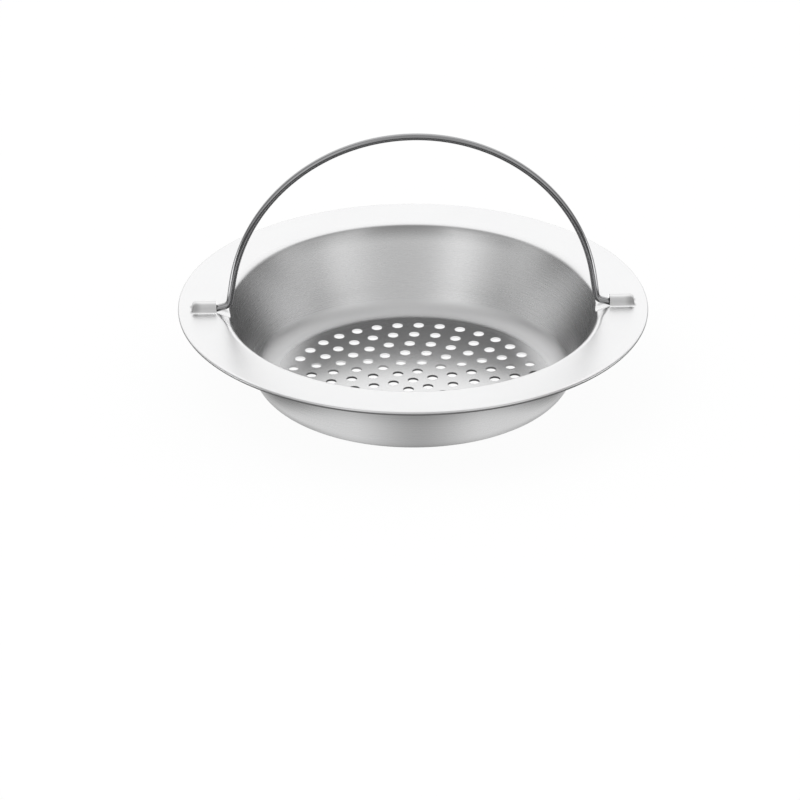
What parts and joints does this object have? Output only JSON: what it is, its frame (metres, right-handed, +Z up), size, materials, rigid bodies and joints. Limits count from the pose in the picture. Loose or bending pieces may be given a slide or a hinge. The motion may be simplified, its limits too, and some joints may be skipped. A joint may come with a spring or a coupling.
{
  "type": "sink strainer",
  "caption": "Round perforated steel sink strainer basket with a flat hemmed rim and a folding wire handle.",
  "frame": {"origin": "middle of the basket's underside, on the surface that it stands on", "axes": "+Z up out of the bowl, X along the handle's pivot from socket to socket, Y across the pivot"},
  "size_m": [0.11, 0.11, 0.0646],
  "materials": {
    "basket_steel": "satin",
    "wire_steel": "polished"
  },
  "bodies": {
    "basket": {"strainer_basket": "basket_steel"},
    "handle": {"bail_handle": "wire_steel"}
  },
  "joints": [
    {"name": "handle_pivot", "type": "hinge", "parent": "basket", "child": "handle", "pos_m": [0, 0, 0.0201], "axis": [1, 0, 0], "range_deg": [-88.5, 88.5]}
  ]
}
